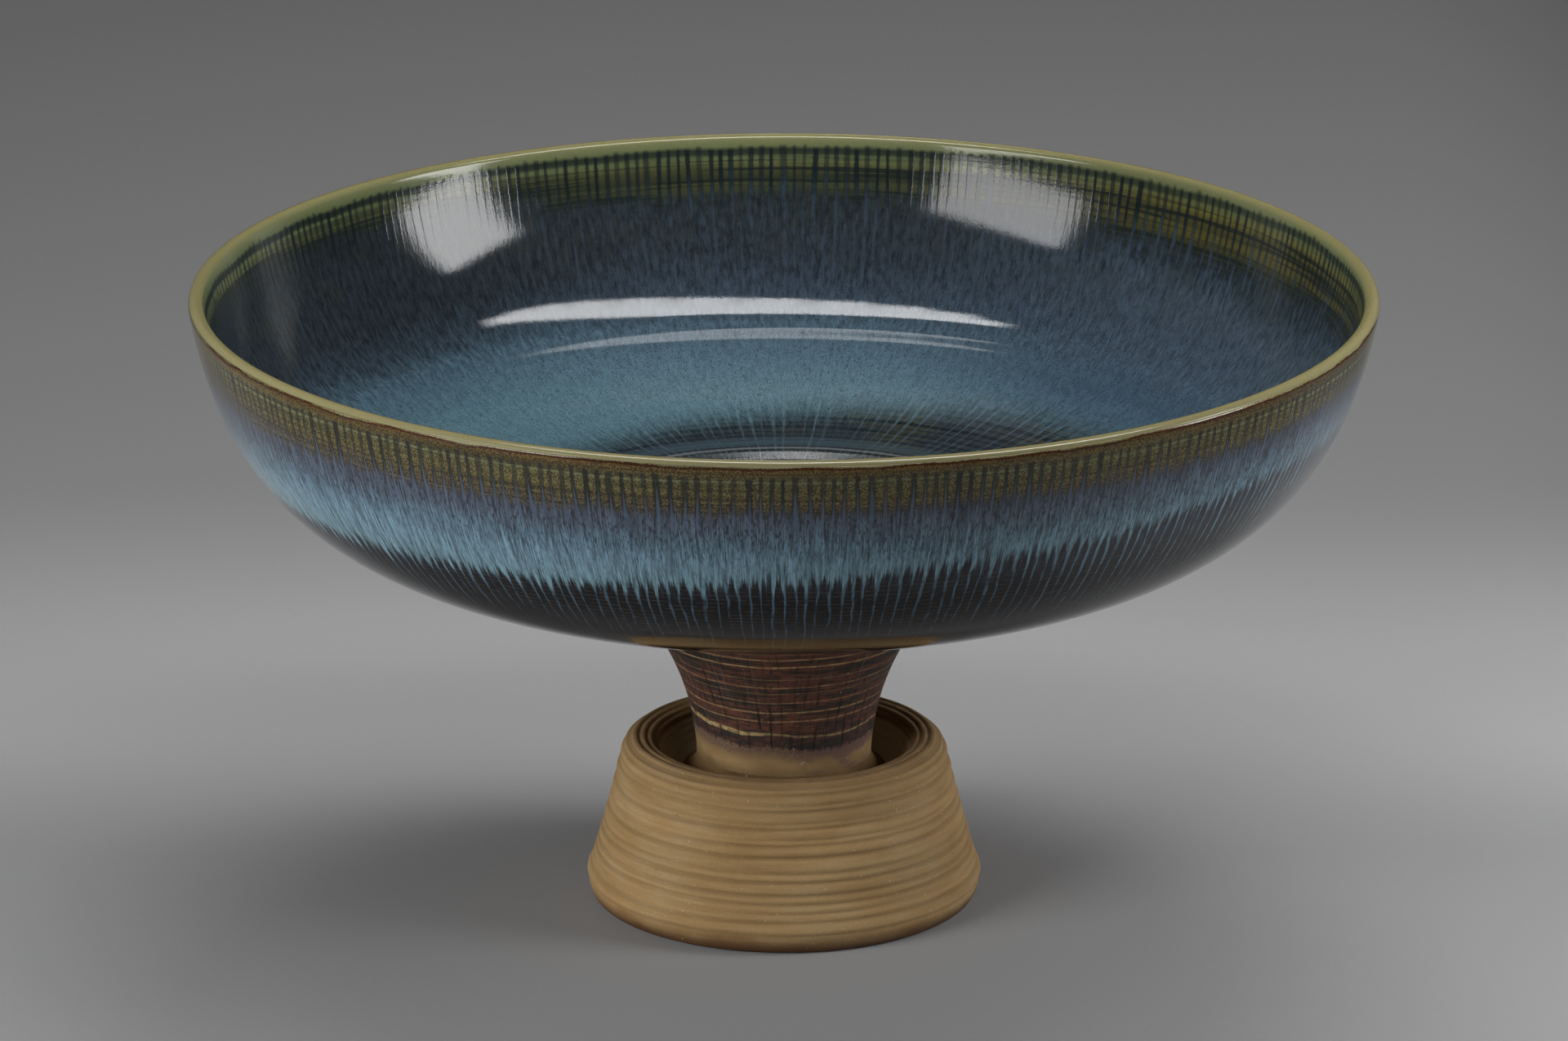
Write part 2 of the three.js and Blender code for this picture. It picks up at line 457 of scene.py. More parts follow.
class Look:
    """A material whose patterns are in millimetres on the piece itself."""

    def __init__(self, name):
        self.material = bpy.data.materials.new(name)
        self.material.use_nodes = True
        self.tree = self.material.node_tree
        self.shader = self.tree.nodes["Principled BSDF"]
        place = self.add("TexCoord", {}, output="Object")
        self.x, self.y, self.z = (self.add("SeparateXYZ", {0: place}, output=i) * 1000 for i in range(3))
        self.radius = self.sum("SQRT", self.x * self.x + self.y * self.y)
        self.turn = self.sum("ARCTAN2", self.y, self.x)
        self.cosine = self.sum("COSINE", self.turn)
        self.sine = self.sum("SINE", self.turn)

    def add(self, kind, inputs, output=0, **settings):
        node = self.tree.nodes.new("ShaderNode" + kind)
        for setting, value in settings.items():
            setattr(node, setting, value)
        for slot, value in inputs.items():
            if isinstance(value, Signal):
                self.tree.links.new(value.socket, node.inputs[slot])
            else:
                node.inputs[slot].default_value = value
        return Signal(self, node.outputs[output])

    def sum(self, operation, *values):
        return self.add("Math", dict(enumerate(values)), operation=operation)

    def mixed(self, mask, under, over):
        under, over = (paint(c) if isinstance(c, str) else c for c in (under, over))
        return self.add("Mix", {0: mask, 6: under, 7: over}, output=2, data_type="RGBA")

    def shaded(self, colour, amount):
        """The colour made darker or lighter by a factor that varies."""
        return self.add("VectorMath", {0: colour, "Scale": amount}, operation="SCALE")

    def bands(self, signal, stops):
        """Colours in turn along a signal, each at its own place."""
        low, high = stops[0][0], stops[-1][0]
        along = self.add("MapRange", {0: signal, 1: low, 2: high, 3: 0.0, 4: 1.0})
        result = self.add("ValToRGB", {0: along})
        ramp = result.socket.node.color_ramp
        while len(ramp.elements) < len(stops):
            ramp.elements.new(1.0)
        for element, (place, colour) in zip(ramp.elements, stops):
            element.position = (place - low) / (high - low)
            element.color = paint(colour) if isinstance(colour, str) else [colour, colour, colour, 1.0]
        return result

    def grain(self, x, y, z, detail=2.0, rough=0.5):
        """Cloudy noise about one half, on these three signals."""
        place = self.add("CombineXYZ", {0: x, 1: y, 2: z})
        return self.add("TexNoise", {"Vector": place, "Scale": 1.0, "Detail": detail, "Roughness": rough})

    def round_grain(self, across, along, run, seed=0.0, detail=2.0, rough=0.5):
        """Noise that closes round the piece, with features of this size at the pattern radius."""
        around = PATTERN_RADIUS / across
        return self.grain(self.cosine * around + seed, self.sine * around, run * (1 / along), detail, rough)

    def wander(self, around, upwards, amount):
        """A slow drift about zero, for lines that aren't quite straight."""
        return (self.grain(self.cosine * around, self.sine * around, self.z * upwards) - 0.5) * amount

    def chance(self, cell, seed):
        """An even random number for each cell."""
        return self.add("TexWhiteNoise", {"W": cell + seed}, noise_dimensions="1D")

    def spokes(self, count, wander):
        """Lines that run down the piece: (the line's number, distance from its middle from 0 to 1)."""
        place = self.turn * (count / TURN) + wander
        number = self.sum("FLOORED_MODULO", self.sum("FLOOR", place), float(count))
        middle = self.sum("ABSOLUTE", self.sum("FRACT", place) - 0.5) * 2.0
        return number, middle

    def finish(self, colour, roughness, bump=None, height=0.1):
        self.tree.links.new(colour.socket, self.shader.inputs["Base Color"])
        if isinstance(roughness, Signal):
            self.tree.links.new(roughness.socket, self.shader.inputs["Roughness"])
        else:
            self.shader.inputs["Roughness"].default_value = roughness
        if bump is not None:
            relief = self.add("Bump", {"Height": bump, "Distance": height * MM, "Strength": 1.0})
            self.tree.links.new(relief.socket, self.shader.inputs["Normal"])
        return self.material


def olive_band(look, down, speck, cloud, slow):
    """Dark red at the lip, then ochre and olive, heavily speckled."""
    level = look.grain(look.cosine * 1.5, look.sine * 1.5, down * 1.3, detail=2.0)
    olive = look.bands(
        down + (cloud - 0.5) * 1.6 + (speck - 0.5) * 1.2,
        [(0.0, "8b8660"), (0.30, "7a704e"), (0.45, "45291d"), (0.90, "4b2c1c"), (1.10, "6d5426"),
         (2.1, "66562a"), (3.2, "60593a"), (5.0, "67633c"), (8.5, "6a6036"), (12.5, "5f5540")],
    )
    peppered = speck.over(0.56, 0.44) * look.bands(down, [(0.5, 0.0), (1.2, 0.95), (2.6, 0.85), (13.0, 0.95)])
    olive = look.mixed(peppered * 0.88, olive, "211b12")
    olive = look.shaded(olive, level.over(0.30, 0.64) * 0.55 + 0.55)
    sheen = look.sum("ABSOLUTE", down + (slow - 0.5) * 2.0 - 4.4).over(0.42, 0.12)
    return look.mixed(sheen * 0.50, olive, "747c5a")


def blue_belt(look, down, place, fibre, strand):
    """Violet slate, then the pale blue belt with its fibres and dark flecks."""
    fleck = look.round_grain(0.42, 1.8, down, 11.0, detail=1.0)
    blue = look.bands(
        place,
        [(9.0, "383b42"), (13.5, "414753"), (18.0, "4c5a68"), (22.5, "566e7d"), (28.0, "668392"),
         (34.0, "6a8894")],
    )
    blue = look.shaded(blue, 0.32 + fibre.over(0.36, 0.64) * 0.62 + strand.over(0.34, 0.62) * 0.48)
    dark_fleck = fleck.over(0.46, 0.39) * look.bands(down, [(10.0, 1.0), (20.0, 0.80), (30.0, 0.30)])
    blue = look.mixed(dark_fleck * 0.85, blue, "1e1c28")
    # Painted light and shade: the belt is painted lighter on its left side and darker on its right
    return look.shaded(blue, 1.04 - look.cosine * 0.08)


def dark_flank(look, down, hang, fibre, strand, speck, slow, spacing):
    """Near black, with thin blue runs and fine level rings: (colour, where it shows, the runs)."""
    drift = (look.round_grain(3.0, 9.0, down, 37.0) - 0.5) * 0.55
    number, middle = look.spokes(OUTSIDE_LINES, spacing + drift)
    first, second, third = (look.chance(number, seed) for seed in (3.3, 14.2, 31.7))
    tooth = middle.over(0.75, 0.0)
    belt_end = 34.6 - hang - look.cosine.over(-0.3, 0.75) * 6.0
    edge = belt_end + tooth * (1.5 + first * 3.5) + (fibre - 0.5) * 9.0 + (strand - 0.5) * 6.0
    below = (down - edge).over(-2.0, 2.2)
    black = look.bands(down, [(30.0, "14151a"), (42.0, "0b0c0f"), (64.0, "0a0909")])
    black = look.shaded(black, 0.6 + speck * 0.8)
    haze = (fibre + (strand - 0.5) * 0.6).over(0.44, 0.62) * (down + hang).over(44.0, 33.0)
    black = look.mixed(haze * 0.8, black, "353c4b")
    along = down + (slow - 0.5) * 1.2
    ring = look.sum("ABSOLUTE", look.sum("FRACT", along * (1 / 1.6)) - 0.5).over(0.12, 0.03)
    worn = look.round_grain(2.6, 1.0, down, 43.0, detail=3.0).over(0.38, 0.58)
    black = look.mixed(ring * worn * down.over(31.0, 36.0) * 0.80, black, "4c4135")
    reach = 50.0 + third * 44.0
    thin = look.sum("MAXIMUM", 0.25 - (down - 32.0 + hang * 0.6) * 0.0062, 0.11) * (0.60 + first * 0.7)
    run = (middle + (speck - 0.5) * 0.16 - thin).over(0.10, -0.08) * (down - reach).over(16.0, -18.0)
    run = run * (0.35 + look.round_grain(2.4, 4, down, 31.0).over(0.36, 0.54) * 0.65)
    paleness = look.bands(down, [(33.0, "5c7b8c"), (42.0, "4c6677"), (56.0, "3d5163"), (110.0, "2b3947")])
    return look.mixed(run * (0.50 + second * 0.45), black, paleness), below, run


def outer_glaze_look():
    look = Look("haresfur_glaze_outside")
    down = look.add("Attribute", {}, output="Fac", attribute_name="down")
    fibre = look.round_grain(0.34, 6.0, down, 1.0, detail=3.0, rough=0.65)
    strand = look.round_grain(0.9, 10.0, down, 7.0, detail=3.0, rough=0.6)
    speck = look.round_grain(0.40, 0.45, down, 5.0, detail=2.0, rough=0.6)
    cloud = look.round_grain(14, 9, down, 17.0, detail=2.0)
    slow = look.round_grain(60, 60, down, 23.0, detail=1.0)
    spacing = (look.round_grain(9, 60, down, 3.0) - 0.5) * 1.5
    number, middle = look.spokes(OUTSIDE_LINES, spacing + (speck - 0.5) * 0.10)
    first, second, third = (look.chance(number, seed) for seed in (0.31, 7.77, 19.13))
    ragged = middle + (speck - 0.5) * 0.6

    # The bands hang lower on one side of the bowl than on the other
    hang = look.cosine * 5.6 + (slow - 0.5) * 4.0
    weave = (fibre - 0.5) * 5.0 + (strand - 0.5) * 7.0
    olive = olive_band(look, down, speck, cloud, slow)
    blue = blue_belt(look, down, down + hang * 0.5 + weave, fibre, strand)
    olive_end = (down + hang * 0.35 + weave * 0.5 + (first - 0.5) * 1.6).over(11.2, 14.4)
    colour = look.mixed(olive_end, olive, blue)

    # Ragged dark lines down the olive band, with blue tongues that widen downwards
    width = second * 0.20 + 0.34
    line = (ragged - width).over(0.16, -0.14) * (first * 0.35 + 0.65)
    line = line * (down - third * 0.7).over(2.0, 3.0) * down.over(16.0, 11.5)
    colour = look.mixed(line * 0.94, colour, "171a18")
    tongue_width = look.sum("MINIMUM", (down + hang * 0.25 - 5.8 - third * 3.0) * 0.045, 0.26)
    tongue = (middle + (speck - 0.5) * 0.3 - tongue_width).over(0.08, -0.10) * down.over(22.0, 14.0)
    colour = look.mixed(tongue * (0.35 + second * 0.35), colour, "4f5f74")

    # Near black below, where the belt frays into thin runs
    black, below, run = dark_flank(look, down, hang, fibre, strand, speck, slow, spacing)
    colour = look.mixed(below, colour, black)

    relief = line * -0.25 + run * below * 0.3 + fibre * 0.15 + speck * 0.1

    # The gloss fades where the glaze is thin below the belt, and on the flanks
    flank = look.sum("ABSOLUTE", look.cosine)
    dry = 0.5 - down.over(30.0, 46.0) * 0.20 - flank.over(0.55, 0.90) * 0.18
    look.tree.links.new(dry.socket, look.shader.inputs["Specular IOR Level"])
    return look.finish(colour, 0.09, relief, 0.05)


def lip_rows(look, down, left, right, fibre, speck, level):
    """The pale lip and the olive rows under it, higher on one side: (colour, place along the rows)."""
    colour = look.bands(
        down + (fibre - 0.5) * 0.8,
        [(0.0, "8b8660"), (0.5, "8d8863"), (1.6, "9a9166"), (3.0, "9a9364"), (4.6, "888b62"),
         (6.4, "717a54"), (9.0, "6f7852"), (12.0, "6b6c40"), (18.0, "5a5d38"), (24.0, "474e3e")],
    )
    colour = look.mixed(right * down.over(7.0, 10.0) * 0.6, colour, "7d7236")
    colour = look.shaded(colour, 0.82 + speck * 0.36)
    row = down + look.cosine * 0.7 + (look.round_grain(24, 9, down, 47.0, detail=2.0) - 0.5) * 1.8
    rows = look.bands(
        row,
        [(6.0, 0.0), (7.0, 0.88), (8.1, 0.80), (8.8, 0.16), (10.8, 0.18), (11.9, 0.65), (15.0, 0.88),
         (16.0, 0.50), (18.4, 0.55), (19.4, 0.88), (25.0, 1.0)],
    )
    uneven = (level.over(0.56, 0.40) * 0.55 - 0.14) * down.over(8.5, 9.5)
    rows = rows * (1.0 - right * 0.12 + left * 0.10) + uneven
    return look.mixed(look.sum("MINIMUM", rows, 0.93), colour, "252c2a"), row


def blue_wall(look, down, left, right, fibre, speck, mottle, slow):
    """Deep slate blue, mottled, which turns teal on the floor, sooner on one side."""
    place = down + (slow - 0.5) * 8.0 + (mottle - 0.5) * 12.0 + (fibre - 0.5) * 4.0
    wall = look.bands(
        place,
        [(14.0, "363e40"), (26.0, "3a4247"), (38.0, "3f4852"), (47.0, "4a5867"), (58.0, "5c7484"),
         (66.0, "627d8e"), (76.0, "688592"), (92.0, "658692")],
    )
    dark_side = look.bands(
        place, [(14.0, "31373b"), (40.0, "31383f"), (49.0, "3d4954"), (58.0, "55707f"), (76.0, "628390")]
    )
    pale_side = look.bands(
        place,
        [(18.0, "30373b"), (26.0, "3c4851"), (34.0, "525f6c"), (58.0, "526475"), (66.0, "4a6072"),
         (84.0, "5a7786")],
    )
    wall = look.mixed(right, look.mixed(left, wall, dark_side), pale_side)
    calm = down.over(50.0, 66.0)
    lively = mottle.over(0.32, 0.66) * (0.40 - calm * 0.16) + fibre.over(0.34, 0.64) * (0.40 - calm * 0.30)
    lively = lively + speck.over(0.34, 0.62) * (0.18 + calm * 0.16)
    return look.shaded(wall, 0.46 + calm * 0.22 + lively)


def floor_middle(look, down, fibre, speck, mottle, cloud, slow, level, spacing):
    """Dark, with spokes of pale blue and fine rings: (colour, where it shows, the spokes)."""
    number, middle = look.spokes(FLOOR_SPOKES, spacing * 0.6)
    first = look.chance(number, 3.3)
    second = look.chance(number, 9.1)
    spoke = (middle + (speck - 0.5) * 0.3 - 0.12 - first * 0.14).over(0.20, -0.14)
    spoke = spoke * (0.10 + second * 0.75) * (0.4 + fibre.over(0.38, 0.56) * 0.6)
    floor_edge = 92.5 - look.cosine * 15.0 + (fibre - 0.5) * 8.0 + (mottle - 0.5) * 8.0 + (slow - 0.5) * 5.0
    centre = (down - floor_edge - spoke * 7.0).over(-10.0, 11.0)
    wavering = down * (TURN / 3.3) + look.sum("SINE", down * 2.9) + (cloud - 0.5) * 4.0
    rings = look.sum("SINE", wavering).over(-0.6, 0.8) * (0.35 + level.over(0.36, 0.60) * 0.65)
    dark_floor = look.mixed(rings * 0.85, "3a4044", "121516")
    warm = look.grain(look.x * 0.05, look.y * 0.05, 0.0, detail=2.0).over(0.44, 0.60)
    warm = warm * look.x.over(-20.0, 30.0) * rings.over(0.7, 0.1)
    dark_floor = look.mixed(warm * 0.6, dark_floor, "4a4728")
    dark_floor = look.shaded(dark_floor, 0.30 + speck + mottle.over(0.34, 0.64) * 0.4)
    dark_floor = look.mixed(spoke * 0.50 * look.radius.over(3.0, 24.0), dark_floor, "5c7180")
    return dark_floor, centre, spoke


def inner_glaze_look():
    look = Look("haresfur_glaze_inside")
    down = look.add("Attribute", {}, output="Fac", attribute_name="down")
    right = look.cosine.over(0.15, 0.78)
    left = look.cosine.over(-0.20, -0.75)
    fibre = look.round_grain(0.6, 3.2, down, 1.0, detail=3.0, rough=0.65)
    speck = look.round_grain(0.50, 0.6, down, 5.0, detail=2.0, rough=0.6)
    mottle = look.round_grain(1.5, 3.2, down, 29.0, detail=3.0, rough=0.6)
    cloud = look.round_grain(16, 8, down, 17.0, detail=2.0)
    slow = look.round_grain(60, 60, down, 23.0, detail=1.0)
    level = look.grain(look.cosine * 2.4, look.sine * 2.4, down * 0.9, detail=3.0, rough=0.6)
    spacing = (look.round_grain(9, 60, down, 3.0) - 0.5) * 1.3
    number, middle = look.spokes(INSIDE_LINES, spacing)
    first, second, third = (look.chance(number, seed) for seed in (0.57, 5.21, 23.9))
    ragged = middle + (speck - 0.5) * 0.45

    colour, row = lip_rows(look, down, left, right, fibre, speck, level)
    wall = blue_wall(look, down, left, right, fibre, speck, mottle, slow)
    deep_at = down + (cloud - 0.5) * 10.0 + (mottle - 0.5) * 9.0 + (level - 0.5) * 5.0
    deep_at = deep_at + left * 5.0 - right * 2.0
    colour = look.mixed(deep_at.over(15.5, 23.0), colour, wall)
    olive_patch = cloud.over(0.50, 0.60) * mottle.over(0.46, 0.56)
    olive_patch = olive_patch * down.over(44.0, 26.0) * down.over(17.0, 22.0)
    colour = look.mixed(olive_patch * 0.40, colour, "3a3c28")

    # Lines down from the lip, dark in the rows and pale threads lower down
    width = second * 0.20 + 0.32
    line = (ragged - width).over(0.20, -0.16) * (first * 0.45 + 0.55)
    toothed = line * (row - first * 1.2).over(5.0, 6.2) * down.over(27.0, 15.0)
    colour = look.mixed(look.sum("MINIMUM", toothed * 0.95, 0.92), colour, "1c262b")
    thread = (ragged - width * 0.7).over(0.24, -0.14) * (0.35 + third * 0.65)
    thread = thread * (down + (second - 0.5) * 8.0).over(13.0, 22.0)
    thread = thread * (down + (first - 0.5) * 26.0).over(74.0, 40.0)
    thread = thread * (0.30 + mottle.over(0.38, 0.56) * 0.70)
    colour = look.mixed(thread * (0.40 + right * 0.20 - left * 0.24), colour, "50657a")

    # Dark middle of the floor
    dark_floor, centre, spoke = floor_middle(look, down, fibre, speck, mottle, cloud, slow, level, spacing)
    colour = look.mixed(centre * 0.96, colour, dark_floor)
    colour = look.mixed(spoke * down.over(60.0, 88.0) * 0.16, colour, "7595a2")
    colour = look.mixed(speck.over(0.42, 0.33) * down.over(30.0, 50.0) * 0.5, colour, "24323c")

    turning = (look.round_grain(40, 1.1, down, 41.0) - 0.5) * down.over(30.0, 10.0)
    relief = toothed * -0.32 + mottle * 0.25 + turning * 0.25 + fibre * 0.15 + speck * 0.15

    # The gloss is lower on the flanks, on the ridge of the wall and round the middle of the floor
    flank = look.sum("ABSOLUTE", look.cosine).over(0.68, 0.84) * down.over(60.0, 40.0)
    on_ridge = look.sum("ABSOLUTE", look.radius - 121.0).over(5.0, 2.5) * down.over(40.0, 45.0)
    middle_floor = down.over(62.0, 71.0) * down.over(109.5, 107.0)
    dry = 0.5 - flank * 0.38 - on_ridge * 0.33 - middle_floor * 0.46
    look.tree.links.new(dry.socket, look.shader.inputs["Specular IOR Level"])
    roughness = down.over(42.0, 14.0) * 0.05 + on_ridge * 0.06 + 0.055 - down.over(106.0, 109.0) * 0.035
    return look.finish(colour, roughness, relief, 0.05)


def specks(look, pitch, size, share, seed=0.0):
    """Grog: small grains, a share of those that a steady pitch would give."""
    scale = 1 / pitch
    place = look.add("CombineXYZ", {0: look.x * scale + seed, 1: look.y * scale, 2: look.z * scale})
    cells = look.add("TexVoronoi", {"Vector": place, "Scale": 1.0}, output="Distance")
    shade = Signal(look, cells.socket.node.outputs["Color"])
    pick = look.add("SeparateColor", {0: shade}, output=0)
    return cells.over(size, size * 0.5) * pick.over(1 - share, 1 - share + 0.01)


def foot_clay_look():
    look = Look("bare_stoneware")
    broad = look.grain(look.x * 0.05, look.y * 0.05, look.z * 0.09, detail=3.0)
    grain = look.grain(look.x * 2.6, look.y * 2.6, look.z * 2.6, detail=3.0, rough=0.65)
    streak = look.grain(look.cosine * 4.0, look.sine * 4.0, look.z * 0.9, detail=3.0)
    colour = look.bands(broad * 0.6 + streak * 0.4, [(0.34, "997a50"), (0.5, "a3855a"), (0.66, "a98f67")])
    groove = look.add("Attribute", {}, output="Fac", attribute_name="down")
    ribs = look.grain(look.cosine, look.sine, look.z * 0.55, detail=3.0)
    # Painted shade: the grooves are painted darker; the ribs vary the clay's tone
    ribs_and_groove_shade = 0.94 + ribs.over(0.36, 0.64) * 0.14 - groove.over(-0.05, 0.42) * 0.17
    colour = look.shaded(colour, (0.70 + grain * 0.60) * ribs_and_groove_shade)

    # Painted shade at the heel where it meets the floor, a darker crown, the painted shade of the well and
    # painted light inside it
    # Painted shade: the heel is painted dark where it meets the floor
    heel_floor_shade = (look.z + (broad - 0.5) * 4.0).over(6.5, 0.4)
    colour = look.mixed(heel_floor_shade * 0.95, colour, "523520")
    crown = look.radius.over(41.5, 37.0) * look.z.over(30.0, 39.0)
    colour = look.mixed(crown * (0.30 + streak.over(0.40, 0.56) * 0.30), colour, "70543a")
    # Painted light and shade: the foot is painted lighter on its left side and darker towards its top, under
    # the bowl
    colour = look.shaded(colour, 0.98 - look.cosine * 0.05 - look.z.over(28.0, 36.0) * 0.09)
    well = look.radius.over(37.5, 33.5) * look.z.over(41.6, 39.5)
    colour = look.mixed(well * look.z.over(38.6, 39.8) * 0.30, colour, "5a4430")
    # Painted light: the inside of the well is painted pale where it lies in shade
    well_painted_light = look.radius.over(33.5, 32.0) * look.z.over(40.0, 38.5) * look.z.over(30.0, 32.0)
    colour = look.mixed(well_painted_light * 0.9, colour, "a89b80")

    # A chalky line on the crown, and grog
    chalk = look.sum("ABSOLUTE", look.radius - 35.1).over(0.22, 0.10) * look.y.over(-15.0, -26.0)
    chalk = chalk * look.grain(look.cosine * 12.0, look.sine * 12.0, 3.0, detail=2.0).over(0.52, 0.60)
    colour = look.mixed(chalk * look.z.over(40.5, 41.3) * 0.6, colour, "cfc6b0")
    colour = look.mixed(specks(look, 1.5, 0.16, 0.16) * 0.65, colour, "d6c49f")
    colour = look.mixed(specks(look, 2.7, 0.10, 0.07, 9.0) * 0.8, colour, "3b2b1c")
    return look.finish(colour, 0.9, grain, 0.10)


def slip_bands(look, tilt, fine, speck, streak, broken):
    """Umber, brick and slate laid on in bands while it turned, with thin tan lines: (colour, the lines)."""
    level = look.grain(look.cosine * 1.1, look.sine * 1.1, tilt * 0.42, detail=4.0, rough=0.62)
    colour = look.bands(
        level * 0.55 + fine * 0.25 + streak * 0.20,
        [(0.38, "2a2927"), (0.44, "3a322c"), (0.49, "49352c"), (0.53, "6c4032"), (0.58, "443731"),
         (0.63, "2f2c28")],
    )
    rough = (0.60 + speck * 0.60) * (0.80 + fine.over(0.36, 0.64) * 0.36)
    # Painted light and shade: the stem is painted lighter on its left side and darker on its right
    colour = look.shaded(colour, rough - look.cosine * 0.08)
    lines = 0.0
    for height, strength, half in STEM_LINES:
        ring = look.sum("ABSOLUTE", tilt - height).over(half * 1.6, half * 0.4) * strength
        lines = look.sum("MAXIMUM", lines, ring)
    return look.mixed(lines * (0.42 + broken.over(0.38, 0.56) * 0.58), colour, "b08c60"), lines


def clay_under_slip(look, drawn, speck):
    """Bare clay, with a mauve fringe and a darker patch where the slip ran thin."""
    blotch = look.grain(look.x * 0.11, look.y * 0.11, look.z * 0.18, detail=2.0)
    clay = look.bands(blotch, [(0.35, "876d49"), (0.65, "9a7f57")])
    clay = look.shaded(clay, 0.80 + speck * 0.4)
    fringe = (drawn + (blotch - 0.5) * 5.0).over(41.6, 44.6)
    clay = look.mixed(fringe * (0.45 + speck.over(0.40, 0.56) * 0.45), clay, "584543")
    patch = look.grain(look.x * 0.10 + 3.0, look.y * 0.10, look.z * 0.16, detail=2.0).over(0.40, 0.52)
    patch = patch * look.x.over(2.0, 9.0) * look.y.over(2.0, -6.0) * look.z.over(37.0, 40.0)
    return look.mixed(patch * 0.8, clay, "6b524c")


def cracks(look, drawn):
    """Upright cracks through the slip, and hair cracks between them."""
    number, middle = look.spokes(53, look.wander(3, 0.06, 1.1))
    depth = 0.40 + look.chance(number, 2.7) * 0.60
    cut = look.grain(number * 3.7, look.z * 0.12, 0.0, detail=1.0).over(0.40, 0.52)
    near_foot = look.z.over(74.0, 54.0)
    crack = middle.over(0.34, 0.08) * cut * depth * (0.25 + near_foot * 0.75) * drawn.over(44.6, 46.6)
    fine_number, fine_middle = look.spokes(118, look.wander(5, 0.09, 1.2))
    hair = fine_middle.over(0.28, 0.06) * look.chance(fine_number, 4.4).over(0.20, 0.85)
    hair = hair * look.grain(fine_number * 2.3, look.z * 0.2, 5.0, detail=1.0).over(0.44, 0.54)
    return crack, hair * drawn.over(46.0, 48.0)


def stem_look():
    look = Look("banded_slip_on_clay")
    tilt = look.z + (look.grain(look.cosine * 1.2, look.sine * 1.2, 2.0) - 0.5) * 1.6
    fine = look.grain(look.cosine * 5.0, look.sine * 5.0, tilt * 1.9, detail=3.0, rough=0.6)
    speck = look.grain(look.x * 2.0, look.y * 2.0, look.z * 2.0, detail=3.0, rough=0.65)
    streak = look.grain(look.cosine * 22.0, look.sine * 22.0, look.z * 0.35, detail=2.0)
    broken = look.grain(look.cosine * 8.0, look.sine * 8.0, look.z * 0.8, detail=3.0, rough=0.7)
    colour, lines = slip_bands(look, tilt, fine, speck, streak, broken)

    # Foot of the slip: a cream line over slate, then a mauve fringe on the bare clay
    wave = look.grain(look.cosine * 1.4, look.sine * 1.4, 7.0, detail=2.0)
    drawn = look.z + (wave - 0.5) * 4.0 + look.cosine
    heavy = look.cosine.over(0.1, -0.6)
    cream = (look.sum("ABSOLUTE", drawn - 49.7) - heavy * 0.35).over(0.45, 0.10)
    slate_end = drawn + (streak - 0.5) * 3.0 + (speck - 0.5) * 1.6
    patchy = broken.over(0.42, 0.54)
    colour = look.mixed(slate_end.over(49.6, 49.0) * (0.20 + patchy * 0.45), colour, "2b2a2b")
    colour = look.mixed(cream * (0.48 + heavy * 0.35) * (0.40 + patchy * 0.60), colour, "bda673")

    clay = clay_under_slip(look, drawn, speck)
    colour = look.mixed(slate_end.over(46.4, 45.2), colour, clay)
    chalk = look.grain(look.x * 1.1, look.y * 1.1, look.z * 0.7, detail=3.0, rough=0.7).over(0.55, 0.66)
    chalk = chalk * look.sum("ABSOLUTE", look.x - 3.0 + (look.z - 44.0) * 0.7).over(1.6, 0.4)
    chalk = chalk * look.z.over(48.0, 46.0) * look.y.over(0.0, -8.0) * look.z.over(38.5, 42.0)
    colour = look.mixed(chalk * 0.6, colour, "b9b4ac")

    # Cracks through the slip and pale scratches beside them
    crack, hair = cracks(look, drawn)
    colour = look.mixed(look.sum("MINIMUM", crack + hair * 0.5, 0.92), colour, "12100d")
    pale_number, pale_middle = look.spokes(88, look.wander(4, 0.05, 1.0))
    pale = pale_middle.over(0.18, 0.04) * look.chance(pale_number, 8.8).over(0.55, 0.95)
    pale = pale * look.z.over(56.0, 66.0)
    colour = look.mixed(pale * (0.2 + broken.over(0.4, 0.55) * 0.4), colour, "73777d")
    colour = look.mixed(specks(look, 1.8, 0.13, 0.05) * 0.8, colour, "cdbb99")

    relief = crack * -1.0 + fine * 0.5 + speck * 0.5 + lines * 0.2
    return look.finish(colour, 0.78, relief, 0.12)


def plain_clay_look(name, light, dark):
    look = Look(name)
    broad = look.grain(look.x * 0.08, look.y * 0.08, look.z * 0.1, detail=3.0)
    grain = look.grain(look.x * 2.0, look.y * 2.0, look.z * 2.0, detail=3.0, rough=0.65)
    colour = look.shaded(look.bands(broad, [(0.35, dark), (0.65, light)]), 0.85 + grain * 0.3)
    colour = look.mixed(specks(look, 1.9, 0.15, 0.08), colour, "d2c09c")
    return look.finish(colour, 0.92, grain, 0.12)


def dress(piece, material, node):
    piece.data.materials.append(material)
    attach(piece, "root")
    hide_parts(node)


dress(outer_glaze, outer_glaze_look(), "outer_glaze")
dress(inner_glaze, inner_glaze_look(), "inner_glaze")
dress(bowl_clay, plain_clay_look("bowl_stoneware", "93774c", "7d623c"), "bowl")
dress(stem, stem_look(), "stem")
dress(foot, foot_clay_look(), "foot")
joint_look = plain_clay_look("joint_slip", "8d7048", "6f5636")
dress(foot_joint, joint_look, "foot_lute")
dress(bowl_joint, joint_look, "bowl_lute")


# Studio

